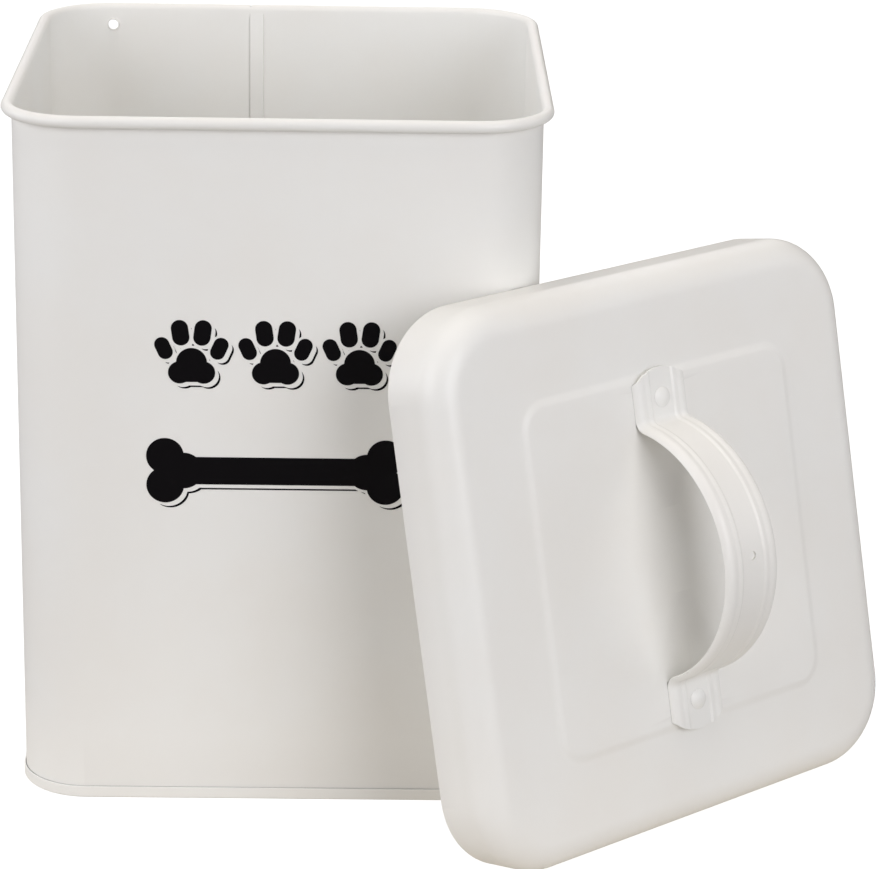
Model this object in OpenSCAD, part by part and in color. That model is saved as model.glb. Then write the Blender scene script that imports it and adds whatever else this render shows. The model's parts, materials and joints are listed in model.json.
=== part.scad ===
// Square sheet-steel pet food bin with a rolled rim, a seamed base and a lift-off lid.
// The lid stands on its lower edge and leans back on the bin's front right corner,
// which is where it is put down while the bin is open.
// Millimetres. +Z is up, -Y is the front, and the origin is the middle of the base.

/* [Bin] */
// Width across the flat sides
body_w = 240; // [200:1:300]
// Depth from front to back
body_d = 240; // [200:1:300]
// Height to the top of the rolled rim
body_h = 330; // [270:1:420]
// Radius of the upright corners
corner_r = 31; // [24:1:42]
// Thickness of the sheet
sheet = 0.8; // [0.6:0.1:1.1]

/* [Rim] */
// Diameter of the roll round the mouth
rim_dia = 5.5; // [5:0.5:8]
// Gap between the free edge of the roll and the wall
rim_gap = 0.4; // [0.2:0.1:0.8]
// Running clearance between the rim wire and the roll
wire_clear = 0.1; // [0.05:0.05:0.3]

/* [Base] */
// Height of the folded band round the foot
hem_h = 5.6; // [4:0.2:9]
// Clearance between the wall and the fold that grips it
hem_clear = 0.2; // [0.1:0.05:0.4]
// Height of the base panel over the floor
base_rise = 4; // [2:0.5:8]

/* [Back wall] */
// Distance of the lock seam to the left of the middle
seam_x = 17; // [0:1:60]
// Width of the lock seam
seam_w = 7; // [5:0.5:10]
// How far the lock seam stands into the bin
seam_t = 1; // [0.6:0.1:2]
// Diameter of the punched hole by the rim
vent_dia = 5; // [3:0.5:8]
// Distance of the punched hole to the left of the middle
vent_x = 90; // [60:1:120]
// Depth of the punched hole below the top of the rim
vent_drop = 10.5; // [9:0.5:30]

/* [Lid] */
// Clearance all round between the rolled rim and the hem of the lid
lid_clear = 2; // [0.8:0.1:3]
// Height of the lid from its open edge to its flat face
lid_h = 34; // [28:1:50]
// Radius of the soft edge between the face and the skirt
lid_edge_r = 14; // [8:1:16]
// Height of the hem folded inside the open edge
lid_hem_h = 5; // [3:0.5:10]
// Width of the raised square panel
panel_w = 160; // [135:1:180]
// Corner radius of the raised panel
panel_r = 11; // [3:0.5:14]
// Height of the raised panel
panel_rise = 1; // [0.8:0.1:2]
// Width of the sloped border of the raised panel
panel_slope = 3; // [1:0.1:3]

/* [Handle] */
// Outer radius of the arch
arch_r = 62; // [52:1:64]
// Radius of the bend between the arch and each foot
bend_r = 6; // [5:0.5:10]
// Half of the width that lies flat before the edges roll down
rail_half = 12; // [10:0.5:14]
// Half width of the shallow channel along the middle
channel_half = 7; // [6.5:0.25:8.5]
// Depth of the shallow channel
channel_t = 0.6; // [0.3:0.1:1]
// Radius of the edges that roll down
roll_r = 4.5; // [3.5:0.25:6]
// Height of the strap section from its lower edges to its rails
strap_h = 2.8; // [2.4:0.1:3.5]
// Thickness of the strap
strap_t = 1.2; // [0.8:0.1:1.4]
// Distance from the middle of the handle to each rivet
rivet_v = 71; // [69:0.5:76]
// Length of the foot beyond the rivet
foot_tip = 14; // [11:0.5:18]
// Radius of the round end of each foot
foot_r = 24; // [18:1:40]
// Diameter of the hole at the top of the arch
arch_hole = 4; // [2:0.5:6]

/* [Rivets] */
// Diameter of the domed head
head_dia = 9.5; // [9:0.5:13]
// Height of the domed head
head_h = 1.6; // [1.4:0.1:3.5]
// Diameter of the shank
shank_dia = 4.8; // [3.5:0.1:6]
// Clearance round the shank in its holes
shank_clear = 0.15; // [0.05:0.05:0.4]
// Diameter of the set end inside the lid
tail_dia = 8.5; // [7:0.5:11]
// Height of the set end inside the lid
tail_h = 1.6; // [1:0.1:3]

/* [Lid at rest] */
// Turn of the lid away from the front
lid_turn = 39.7; // [25:0.5:60]
// Lean of the lid from upright
lid_lean = 12.8; // [6:0.2:20]
// Distance along the lid from its middle to where it touches the bin
lid_slide = 46; // [0:1:70]

/* [Transfer] */
// Thickness of the printed transfer
ink_t = 0.15; // [0.1:0.05:0.3]
// Height of a paw mark
paw_h = 32; // [24:1:36]
// Distance between the paw marks
paw_pitch = 38; // [36:1:45]
// Height of the row of paws over the floor
paw_z = 221; // [180:1:260]
// Length of the bone
bone_l = 118; // [90:1:140]
// Height of the bone over the floor
bone_z = 164; // [120:1:175]
// Offset of the thin shadow line
shade = 2.4; // [1.6:0.1:3.5]

/* [Hidden] */
$fn = 96;
eps = 0.01;
seat = 0.05; // hairline left where one piece is clamped on another
rim_r = rim_dia / 2;
rim_x = rim_r - sheet; // middle of the roll, measured outward from the wall
rim_z = body_h - rim_r;
wall_z = sheet + hem_clear / 2; // lower edge of the wall, inside the fold of the base
hem_out = hem_clear + sheet;
lid_w = body_w + 2 * (rim_dia - sheet) + 2 * (lid_clear + 2 * sheet + hem_clear);
lid_d = body_d + 2 * (rim_dia - sheet) + 2 * (lid_clear + 2 * sheet + hem_clear);
lid_r = corner_r + (lid_w - body_w) / 2 - 1;
fold_r = sheet + hem_clear / 2;
panel_z = lid_h + panel_rise;
foot_z = panel_z + seat;
arch_in = arch_r - strap_h;
bend_dir = [0.96, 0.28]; // way from the middle of the arch to the middle of each bend
foot_v = (arch_in + bend_r) * bend_dir[0];
arch_z = foot_z + bend_r - (arch_in + bend_r) * bend_dir[1];
foot_end = rivet_v + foot_tip;
channel_z = strap_h - channel_t;
bore_dia = shank_dia + 2 * shank_clear;
lid_out = [sin(lid_turn), -cos(lid_turn)];
lid_along = [cos(lid_turn), sin(lid_turn)];
corner_mid = [body_w / 2 - corner_r, corner_r - body_d / 2];
lean_gap = 0.3; // hairline between the leaning lid and the wall
lid_off = corner_r + lean_gap + lid_d / 2 * sin(lid_lean);
lid_mid = corner_mid + lid_off * lid_out + lid_slide * lid_along;

// Flat rectangle with round corners
module plate(w, d, r) {
  square([w - 2 * r, d], center = true);
  square([w, d - 2 * r], center = true);
  for (x = [-1, 1], y = [-1, 1])
    translate([x * (w / 2 - r), y * (d / 2 - r)]) circle(r);
}

// Carries a flat section round a rectangle with round corners.
// The section's x is the distance outward from the outline, and its y is the height.
module around(w, d, r) {
  for (side = [0:3]) {
    half = (side % 2 == 0 ? w : d) / 2;
    run = (side % 2 == 0 ? d : w) - 2 * r;
    rotate([0, 0, 90 * side]) {
      translate([half, 0, 0]) rotate([90, 0, 0])
        linear_extrude(run, center = true) children();
      translate([half - r, run / 2, 0])
        rotate_extrude(angle = 90) translate([r, 0]) children();
    }
  }
}

// Roll of the rim: a tube whose lower inner quarter is open beside the wall
module rim_roll() {
  difference() {
    translate([rim_x, rim_z]) circle(rim_r);
    translate([rim_x, rim_z]) circle(rim_r - sheet);
    translate([-rim_dia, rim_z - rim_dia]) square([rim_dia + rim_gap, rim_dia]);
  }
}

// Lock seam standing on the inside of the back wall, with one crisp and one soft edge
module lock_seam() {
  inner = body_d / 2 - sheet;
  left = -seam_x - seam_w / 2;
  translate([0, 0, base_rise + sheet + 1])
    linear_extrude(rim_z - base_rise - sheet - 1)
      polygon([[left, inner + sheet / 2], [left, inner - seam_t],
               [left + 0.7 * seam_w, inner - seam_t], [left + seam_w, inner + sheet / 2]]);
}

module body_wall() {
  color("#E4E3DF") difference() {
    union() {
      around(body_w, body_d, corner_r) {
        translate([-sheet, wall_z]) square([sheet, rim_z - wall_z]);
        rim_roll();
      }
      lock_seam();
    }
    // punched hole
    translate([-vent_x, body_d / 2 - sheet - 1, body_h - vent_drop])
      rotate([-90, 0, 0]) cylinder(d = vent_dia, h = sheet + 2);
    // butt joint of the roll over the seam
    translate([-seam_x - seam_w / 2, body_d / 2 + eps, rim_z - rim_dia])
      cube([rim_gap, rim_dia + 1, 2 * rim_dia]);
    // fine line of the seam on the outside
    translate([-seam_x - seam_w / 2, body_d / 2 - sheet / 2, hem_h + 1])
      cube([sheet / 2, sheet, rim_z - rim_r - hem_h - 1 - rim_gap]);
  }
}

module rim_wire() {
  color("#B9BCBE") around(body_w, body_d, corner_r)
    translate([rim_x, rim_z]) circle(rim_r - sheet - wire_clear);
}

module base_pan() {
  inner = sheet + hem_clear;
  color("#E4E3DF") union() {
    around(body_w, body_d, corner_r) {
      translate([hem_clear, 0]) square([sheet, hem_h]);
      translate([-inner - sheet, 0]) square([inner + sheet + hem_out, sheet]);
      translate([-inner - sheet, 0]) square([sheet, base_rise + sheet]);
    }
    translate([0, 0, base_rise]) linear_extrude(sheet)
      plate(body_w - 2 * inner, body_d - 2 * inner, corner_r - inner);
  }
}

// Round-ended bar of a mark
module pill(l, r) {
  square([l, 2 * r], center = true);
  for (x = [-1, 1]) translate([x * l / 2, 0]) circle(r);
}

// Paw mark, drawn larger by grow all round
module paw(grow) {
  unit = paw_h / 33;
  for (x = [-1, 1]) {
    translate([x * 5.2, 9.2] * unit) rotate(90 - x * 8) pill(4.4 * unit, 4 * unit + grow);
    translate([x * 13, 1.6] * unit) rotate(90 - x * 24) pill(4 * unit, 3.5 * unit + grow);
    translate([x * 5.6, -10.2] * unit) circle(5.4 * unit + grow);
  }
  translate([0, -5.4] * unit) circle(7.2 * unit + grow);
  translate([0, -10.2] * unit) square([11.2 * unit, 2 * (4.6 * unit + grow)], center = true);
}

// Bone mark, drawn larger by grow all round
module bone(grow) {
  knob = 8.6;
  square([bone_l - 4 * knob, 2 * (6.6 + grow)], center = true);
  for (x = [-1, 1], y = [-1, 1])
    translate([x * (bone_l / 2 - knob), y * 7]) circle(knob + grow);
  for (x = [-1, 1]) translate([x * (bone_l / 2 - 2 * knob), 0]) circle(knob + grow);
}

// Solid mark with a thin shadow line along its lower right side
module shaded(kind) {
  if (kind == 0) paw(0);
  if (kind == 1) bone(0);
  difference() {
    translate([shade, -shade]) if (kind == 0) paw(0); else bone(0);
    translate([shade, -shade] * 0.62) if (kind == 0) paw(0.25); else bone(0.25);
    if (kind == 0) paw(1.2);
    if (kind == 1) bone(1.2);
  }
}

module front_transfer() {
  color("#101014") translate([0, -body_d / 2, 0]) rotate([90, 0, 0])
    linear_extrude(ink_t) {
      for (i = [-1:1]) translate([i * paw_pitch, paw_z]) shaded(0);
      translate([0, bone_z]) shaded(1);
    }
}

// Places a piece of the lid where the lid leans. There x runs along the lid,
// y runs up its face and z points out of its face.
module on_lid() {
  translate([lid_mid[0], lid_mid[1], lid_d / 2 * cos(lid_lean)])
    rotate([0, 0, lid_turn]) rotate([90 - lid_lean, 0, 0]) children();
}

module lid_section() {
  // skirt
  translate([-sheet, fold_r]) square([sheet, lid_h - lid_edge_r - fold_r]);
  // soft edge
  intersection() {
    translate([-lid_edge_r, lid_h - lid_edge_r]) difference() {
      circle(lid_edge_r);
      circle(lid_edge_r - sheet);
    }
    translate([-lid_edge_r, lid_h - lid_edge_r]) square(lid_edge_r);
  }
  // hem folded inside the open edge
  intersection() {
    translate([-fold_r, fold_r]) difference() {
      circle(fold_r);
      circle(fold_r - sheet);
    }
    translate([-2 * fold_r, 0]) square([2 * fold_r, fold_r]);
  }
  translate([-2 * fold_r, fold_r]) square([sheet, lid_hem_h - fold_r]);
}

module lid_shell() {
  color("#E4E3DF") on_lid() difference() {
    union() {
      around(lid_w, lid_d, lid_r) lid_section();
      // flat border of the face
      translate([0, 0, lid_h - sheet]) linear_extrude(sheet) difference() {
        plate(lid_w - 2 * lid_edge_r, lid_d - 2 * lid_edge_r, lid_r - lid_edge_r);
        plate(panel_w + 2 * panel_slope, panel_w + 2 * panel_slope, panel_r + panel_slope);
      }
      // sloped border and raised panel
      around(panel_w, panel_w, panel_r)
        polygon([[0, panel_z], [0, panel_z - sheet],
                 [panel_slope, lid_h - sheet], [panel_slope, lid_h]]);
      translate([0, 0, panel_z - sheet]) linear_extrude(sheet)
        plate(panel_w, panel_w, panel_r);
    }
    for (end = [-1, 1]) translate([0, end * rivet_v, lid_h - 2])
      cylinder(d = bore_dia, h = 2 + panel_rise + 1);
  }
}

// Section of the strap, from its lower edges at y = 0 to its rails
module strap_section() {
  translate([-channel_half + channel_t, channel_z - strap_t])
    square([2 * (channel_half - channel_t), strap_t]);
  for (side = [0, 1]) mirror([side, 0]) {
    polygon([[channel_half - channel_t, channel_z - strap_t],
             [channel_half + channel_t, strap_h - strap_t],
             [channel_half + channel_t, strap_h],
             [channel_half - channel_t, channel_z]]);
    translate([channel_half + channel_t, strap_h - strap_t])
      square([rail_half - channel_half - channel_t, strap_t]);
    intersection() {
      translate([rail_half, strap_h - roll_r]) difference() {
        circle(roll_r);
        circle(roll_r - strap_t);
      }
      translate([rail_half, 0]) square([roll_r, strap_h]);
    }
  }
}

// Keeps what lies in a flat outline drawn up the lid's face (x) and out of it (y)
module kept(outline) {
  intersection() {
    rotate([90, 0, 90]) linear_extrude(4 * rail_half, center = true) polygon(outline);
    children();
  }
}

module handle_strap() {
  far = 2 * arch_r;
  color("#E8E8E4") on_lid() difference() {
    union() {
      // arch
      translate([0, 0, arch_z])
        kept([[0, 0], far * bend_dir, [far * bend_dir[0], far],
              [-far * bend_dir[0], far], [-far * bend_dir[0], far * bend_dir[1]]])
          rotate([0, 90, 0]) rotate_extrude()
            translate([arch_in, 0]) rotate(-90) strap_section();
      for (end = [0, 1]) mirror([0, end, 0]) {
        // bend between the arch and the foot
        translate([0, foot_v, foot_z + bend_r])
          kept([[0, 0], [0, -far], [-far * bend_dir[0], -far], -far * bend_dir])
            rotate([0, 90, 0]) rotate_extrude()
              translate([bend_r, 0]) rotate(90) strap_section();
        // foot with a round end
        intersection() {
          translate([0, foot_end, foot_z]) rotate([90, 0, 0])
            linear_extrude(foot_end - foot_v) strap_section();
          translate([0, foot_end - foot_r, foot_z - 1])
            cylinder(r = foot_r, h = strap_h + 2);
        }
      }
    }
    for (end = [-1, 1]) translate([0, end * rivet_v, foot_z - 1])
      cylinder(d = bore_dia, h = strap_h + 2);
    translate([0, 0, arch_z + arch_in - 1]) cylinder(d = arch_hole, h = strap_h + 2);
  }
}

// Domed rivet, with z = 0 on the strap's channel at the foot
module rivet(end) {
  cap_r = (pow(head_dia / 2, 2) + pow(head_h, 2)) / (2 * head_h);
  drop = foot_z + channel_z - panel_z + sheet + seat;
  color("#E8E8E4") on_lid() translate([0, end * rivet_v, foot_z + channel_z + seat]) {
    rotate_extrude() intersection() {
      translate([0, head_h - cap_r]) circle(cap_r);
      square([head_dia / 2, head_h]);
    }
    translate([0, 0, -drop - tail_h - seat]) {
      cylinder(d = tail_dia, h = tail_h);
      cylinder(d = shank_dia, h = drop + tail_h + seat + eps);
    }
  }
}

module rivet_upper() {
  rivet(1);
}

module rivet_lower() {
  rivet(-1);
}

body_wall();
rim_wire();
base_pan();
front_transfer();
lid_shell();
handle_strap();
rivet_upper();
rivet_lower();
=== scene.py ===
# Square steel pet food bin and its leaning lid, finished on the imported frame.
import json
from math import asin, atan2, cos, degrees, pi, radians, sin, sqrt

import bmesh
import bpy
from bpy.props import FloatProperty, FloatVectorProperty, IntProperty, PointerProperty
from bpy.types import Operator, Panel, PropertyGroup
from mathutils import Matrix, Vector


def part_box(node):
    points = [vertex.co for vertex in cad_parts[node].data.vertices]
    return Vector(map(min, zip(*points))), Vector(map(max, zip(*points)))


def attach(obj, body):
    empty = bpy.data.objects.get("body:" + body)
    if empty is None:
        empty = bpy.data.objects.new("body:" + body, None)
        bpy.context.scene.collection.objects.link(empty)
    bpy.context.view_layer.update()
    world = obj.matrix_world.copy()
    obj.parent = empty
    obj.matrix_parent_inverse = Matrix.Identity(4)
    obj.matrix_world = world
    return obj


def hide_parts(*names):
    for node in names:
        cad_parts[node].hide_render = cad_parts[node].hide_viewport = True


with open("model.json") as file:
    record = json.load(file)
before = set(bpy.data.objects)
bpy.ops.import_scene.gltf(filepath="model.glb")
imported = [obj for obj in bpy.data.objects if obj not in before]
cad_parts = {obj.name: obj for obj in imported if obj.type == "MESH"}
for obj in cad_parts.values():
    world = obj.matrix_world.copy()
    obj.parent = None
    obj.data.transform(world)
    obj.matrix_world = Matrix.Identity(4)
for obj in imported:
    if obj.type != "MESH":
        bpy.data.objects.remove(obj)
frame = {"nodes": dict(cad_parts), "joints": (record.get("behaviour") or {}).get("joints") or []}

bl_info = {
    "name": "Pet food bin",
    "version": (1, 0, 0),
    "blender": (4, 5, 0),
    "location": "3D View > Sidebar > Food bin",
    "description": "Makes a powder-coated square food bin with its lid leaning beside it",
    "category": "Add Mesh",
}

MM = 0.001
ARC_STEPS = 32  # steps in a quarter turn of an upright corner
BEND_STEPS = 12  # steps in a quarter turn of a fold
ROLL_STEPS = 40  # steps round the roll of the rim
SOFT_STEPS = 24  # steps in the lid's soft edge
ARCH_STEPS = 60  # steps in half the handle's arch
KNEE_STEPS = 16  # steps in the bend between the arch and a foot
FOOT_STEPS = 12  # steps along a foot of the handle
LIP_STEPS = 14  # steps in a rolled-down edge of the handle
FOLD_STEPS = 6  # steps in the tight inside of a fold
EDGE_STEPS = 4  # steps in a cut edge of the base
HEM_STEPS = 3  # steps in a cut edge of the lid's hem
SLOPE_STEPS = 10  # steps in the slope round the lid's panel
LEVELS = 8  # parts that the wall's height is divided into
NEARLY = 0.999  # for tests against one
SHARP = radians(38)  # faces that meet more steeply than this keep a crisp edge
SUPPORT = 1.5 * MM  # distance from a tangency to the loop that keeps the flat side flat
BREAK = 0.15 * MM  # how far a cut edge of the sheet is broken
SEAM_BLEND = 0.1 * MM  # half the height over which the lock seam starts
HOLE_SIDES = 48  # sides of a small round hole
ARCH_LEAN = 0.28  # sine of the lean at which the handle's arch passes into its bends
DRILL_START = 3 * MM  # how far below the lid's border the rivets' holes start
DRILL_LENGTH = 8 * MM  # length of a rod that cuts a hole
MIX_A, MIX_B, MIX_RESULT = 6, 7, 2  # sockets of a Mix node that mixes colours

FLOOR_RADIUS = 9.0
NEAR_RADIUS = 0.25  # the bright paper reaches a little past the object
LAMP_AIM = (0.08, -0.08, 0.16)  # middle of the bin and its lid
CAMERA_SPOT = Vector((0.0453, -1.6006, 0.6887))
CAMERA_YAW = 0.019467  # to the right of the Y axis, in radians
CAMERA_PITCH = 0.329189  # down
CAMERA_ROLL = 0.017888
CAMERA_LENS = 140.9589  # millimetres, on a sensor 36 mm wide

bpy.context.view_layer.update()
WALL_LOW, WALL_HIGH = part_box("body_wall")
BASE_LOW, BASE_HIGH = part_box("base_pan")


# ---- sizes and colours


def linear(code):
    """Linear colour of an sRGB hex value."""
    parts = [int(code[i:i + 2], 16) / 255 for i in (1, 3, 5)]
    return [c / 12.92 if c <= 0.04045 else ((c + 0.055) / 1.055) ** 2.4 for c in parts]


def length(name, text, value):
    """A size in millimetres that a user may change."""
    return FloatProperty(name=name, description=text, default=value * MM, min=0,
                         precision=5, subtype="DISTANCE", unit="LENGTH")


def share(name, text, value, top=1.0):
    """A plain number that a user may change."""
    return FloatProperty(name=name, description=text, default=value, min=0, max=top)


def shade(name, text, code):
    """A colour that a user may change."""
    return FloatVectorProperty(name=name, description=text, size=3, subtype="COLOR",
                               min=0, max=1, default=linear(code))


class BinSizes(PropertyGroup):
    """Sizes of the bin's wall and base."""
    sheet: length("Sheet", "Thickness of the sheet", 0.8)
    corner: length("Corner", "Radius of the upright corners", 31)
    rim: length("Rim", "Diameter of the roll round the mouth", 5.5)
    rim_gap: length("Rim gap", "Gap between the free edge of the roll and the wall", 0.65)
    seam_x: length("Seam place", "Distance of the lock seam left of the middle", 17)
    seam_w: length("Seam width", "Width of the lock seam", 7)
    seam_t: length("Seam height", "How far the lock seam stands into the bin", 1)
    vent: length("Hanging hole", "Diameter of the punched hole by the rim", 5)
    vent_x: length("Hole place", "Distance of the hole left of the middle", 90)
    vent_drop: length("Hole drop", "Depth of the hole below the top of the rim", 10.5)
    hem_clear: length("Hem clearance", "Clearance between the wall and its fold", 0.2)
    base_rise: length("Base rise", "Height of the base panel over the floor", 4)


class LidSizes(PropertyGroup):
    """Sizes of the lid."""
    corner: length("Corner", "Radius of the lid's upright corners", 38.5)
    edge: length("Soft edge", "Radius between the face and the skirt", 14)
    hem: length("Hem", "Height of the hem inside the open edge", 5)
    panel: length("Panel", "Width of the raised square panel", 160)
    panel_corner: length("Panel corner", "Corner radius of the raised panel", 11)
    rise: length("Panel rise", "Height of the raised panel", 1.0)
    slope: length("Panel slope", "Width of the slope round the panel", 3.0)


class HandleSizes(PropertyGroup):
    """Sizes of the strap handle and its rivets."""
    arch: length("Arch", "Outer radius of the arch", 62)
    bend: length("Bend", "Radius between the arch and a foot", 6)
    rail: length("Rail", "Half width that lies flat before the edges roll down", 12)
    channel: length("Channel", "Half width of the shallow channel", 7)
    dip: length("Channel depth", "Depth of the shallow channel", 0.6)
    bead: length("Bead", "Depth of the shallow valley along each rail", 0.3)
    roll: length("Roll", "Radius of the edges that roll down", 4.5)
    height: length("Strap height", "Height of the strap from its edges to its rails", 2.8)
    gauge: length("Strap thickness", "Thickness of the strap", 1.2)
    seat: length("Seat", "Hairline between the foot and the panel", 0.05)
    rivet_v: length("Rivet place", "Distance of each rivet from the middle", 71)
    tip: length("Foot tip", "Length of the foot beyond the rivet", 14)
    foot: length("Foot radius", "Radius of the round end of each foot", 24)
    hole: length("Hanging hole", "Diameter of the hole at the top of the arch", 4)
    rings: IntProperty(name="Rings", description="Rings along the strap", default=260,
                       min=40, max=600)
    across: IntProperty(name="Points across", description="Points across the strap",
                        default=120, min=40, max=200)
    deburr: length("Deburr", "How far the edges of the strap are broken", 0.22)
    head: length("Rivet head", "Diameter of the domed head", 9.5)
    head_h: length("Head height", "Height of the domed head", 1.6)
    shank: length("Shank", "Diameter of the shank", 4.8)
    bore: length("Bore", "Diameter of the holes for the shank", 5.1)
    tail: length("Set end", "Diameter of the set end inside the lid", 8.5)
    tail_h: length("Set end height", "Height of the set end inside the lid", 1.6)


class Finishes(PropertyGroup):
    """Colours and gloss of the finishes."""
    coat: shade("Coat", "Colour of the powder coat", "#FAFAF7")
    coat_deep: shade("Coat, thick", "Colour where the powder lies thicker", "#F9F8F4")
    coat_thin: shade("Coat, thin", "Colour where the coat thins over an edge", "#F0EFEC")
    # Painted shade: narrow gaps are darkened towards this grey, as far as the depth below, for
    # the shade that falls in them.
    crease_shade: shade("Crease", "Colour of the dust in the narrow gaps", "#7F7E77")
    crease_shade_depth: share("Crease depth", "How much the dust covers in the narrowest gaps", 0.8)
    coat_gloss: share("Coat roughness", "Roughness of the powder coat", 0.5)
    skin: share("Skin", "Share of the smoother skin on top of the powder coat", 0.25)
    skin_gloss: share("Skin roughness", "Roughness of the smoother skin", 0.16)
    wire: shade("Wire", "Colour of the drawn steel wire", "#B9BCBE")
    ink: shade("Ink", "Colour of the black transfer", "#060508")
    ink_worn: shade("Ink, thin", "Colour where the transfer lies thinner", "#0C0A0E")
    floor: shade("Floor", "Colour of the floor that shows", "#9A9A9A")
    paper: shade("Bounce sheet", "Colour of the sheet that lights from below", "#A8A5A1")
    near: shade("Near paper", "Tint of the light that comes back by the object", "#FFF1DA")
    cool: shade("Cool lamp", "Tint of the lights in front and at the sides", "#FBFBFF")
    warm: shade("Warm lamp", "Tint of the light overhead", "#FFF5E8")


class StageSizes(PropertyGroup):
    """Light of the stage."""
    world: share("Surround", "Brightness of the dim surround", 0.01, 4)
    glow: share("Floor glow", "Light that the lit floor gives by itself", 0.92, 4)
    near: share("Near bounce", "Light that comes back from the paper by the object", 0.26, 4)
    right: share("Right light", "Power of the soft light at the front right", 22.8, 400)
    left: share("Left light", "Power of the soft light at the front left", 18.3, 400)
    top: share("Top light", "Power of the soft light overhead", 22.6, 400)
    back: share("Back light", "Power of the soft light behind", 24.5, 400)
    left_side: share("Left side light", "Power of the soft light at the left", 14.8, 400)
    right_side: share("Right side light", "Power of the soft light at the right", 6.2, 400)


# ---- nodes and materials


def add_node(tree, kind, inputs=None, **settings):
    """A node with its settings, its values and its links."""
    made = tree.nodes.new(kind)
    for name, value in settings.items():
        setattr(made, name, value)
    for key, value in (inputs or {}).items():
        if isinstance(value, bpy.types.NodeSocket):
            tree.links.new(value, made.inputs[key])
        else:
            made.inputs[key].default_value = value
    return made


def new_material(name):
    """An empty node material and its tree."""
    made = bpy.data.materials.new(name)
    made.use_nodes = True
    made.node_tree.nodes.clear()
    return made, made.node_tree


def shown(tree, shader):
    """Ends a material's tree in its shader."""
    add_node(tree, "ShaderNodeOutputMaterial", {"Surface": shader.outputs["BSDF"]})


def four(colour):
    """A colour with its alpha."""
    return (*colour, 1.0)


def powder_coat():
    """Satin powder coat on pressed steel: soft broad highlights over a faint orange peel."""
    if "satin_powder_coat_on_steel" in bpy.data.materials:
        return bpy.data.materials["satin_powder_coat_on_steel"]
    look = bpy.context.scene.bin_finishes
    material, tree = new_material("satin_powder_coat_on_steel")
    place = add_node(tree, "ShaderNodeTexCoord").outputs["Object"]

    # Powder lies a little thicker in drifts some 60 mm wide, which warms the colour.
    drift = add_node(tree, "ShaderNodeTexNoise", {
        "Vector": place, "Scale": 1 / (60 * MM), "Detail": 3.0, "Roughness": 0.55})
    drift_ramp = add_node(tree, "ShaderNodeMapRange", {
        "Value": drift.outputs["Fac"], "From Min": 0.38, "From Max": 0.64, "To Min": 0.0,
        "To Max": 1.0})
    coat = add_node(tree, "ShaderNodeMix", {
        "Factor": drift_ramp.outputs["Result"], MIX_A: four(look.coat),
        MIX_B: four(look.coat_deep)}, data_type="RGBA")

    # The coat thins over crisp edges, so they look a shade greyer.
    edge = add_node(tree, "ShaderNodeNewGeometry").outputs["Pointiness"]
    edge_ramp = add_node(tree, "ShaderNodeMapRange", {
        "Value": edge, "From Min": 0.53, "From Max": 0.62, "To Min": 0.0, "To Max": 0.55})
    worn = add_node(tree, "ShaderNodeMix", {
        "Factor": edge_ramp.outputs["Result"], MIX_A: coat.outputs[MIX_RESULT],
        MIX_B: four(look.coat_thin)}, data_type="RGBA")

    # Painted shade: an ambient occlusion over 1.3 mm darkens gaps under a millimetre or so
    # towards the crease grey, for the shade that falls in them.
    crease_shade = add_node(tree, "ShaderNodeAmbientOcclusion", {"Distance": 1.3 * MM}, samples=8)
    crease_shade_ramp = add_node(tree, "ShaderNodeMapRange", {
        "Value": crease_shade.outputs["AO"], "From Min": 0.15, "From Max": 0.7,
        "To Min": look.crease_shade_depth, "To Max": 0.0})
    crease_shaded = add_node(tree, "ShaderNodeMix", {
        "Factor": crease_shade_ramp.outputs["Result"], MIX_A: worn.outputs[MIX_RESULT],
        MIX_B: four(look.crease_shade)}, data_type="RGBA")

    # Gloss changes slightly in patches of 9 mm, as cured powder does.
    patch = add_node(tree, "ShaderNodeTexNoise", {
        "Vector": place, "Scale": 1 / (9 * MM), "Detail": 4.0})
    gloss = add_node(tree, "ShaderNodeMapRange", {
        "Value": patch.outputs["Fac"], "From Min": 0.3, "From Max": 0.7,
        "To Min": look.coat_gloss - 0.03, "To Max": look.coat_gloss + 0.04})

    # Orange peel has a pitch of about 1.4 mm, and the sheet itself waves over 45 mm.
    peel = add_node(tree, "ShaderNodeTexNoise", {
        "Vector": place, "Scale": 1 / (1.4 * MM), "Detail": 2.0, "Roughness": 0.4})
    wave = add_node(tree, "ShaderNodeTexNoise", {
        "Vector": place, "Scale": 1 / (45 * MM), "Detail": 1.0})
    waved = add_node(tree, "ShaderNodeBump", {
        "Height": wave.outputs["Fac"], "Strength": 0.35, "Distance": 0.35 * MM})
    peeled = add_node(tree, "ShaderNodeBump", {
        "Height": peel.outputs["Fac"], "Strength": 0.22, "Distance": 0.012 * MM,
        "Normal": waved.outputs["Normal"]})
    shader = add_node(tree, "ShaderNodeBsdfPrincipled", {
        "Base Color": crease_shaded.outputs[MIX_RESULT], "Roughness": gloss.outputs["Result"],
        "IOR": 1.5, "Normal": peeled.outputs["Normal"], "Coat Weight": look.skin,
        "Coat Roughness": look.skin_gloss, "Coat Normal": peeled.outputs["Normal"]})
    shown(tree, shader)
    return material


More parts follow.
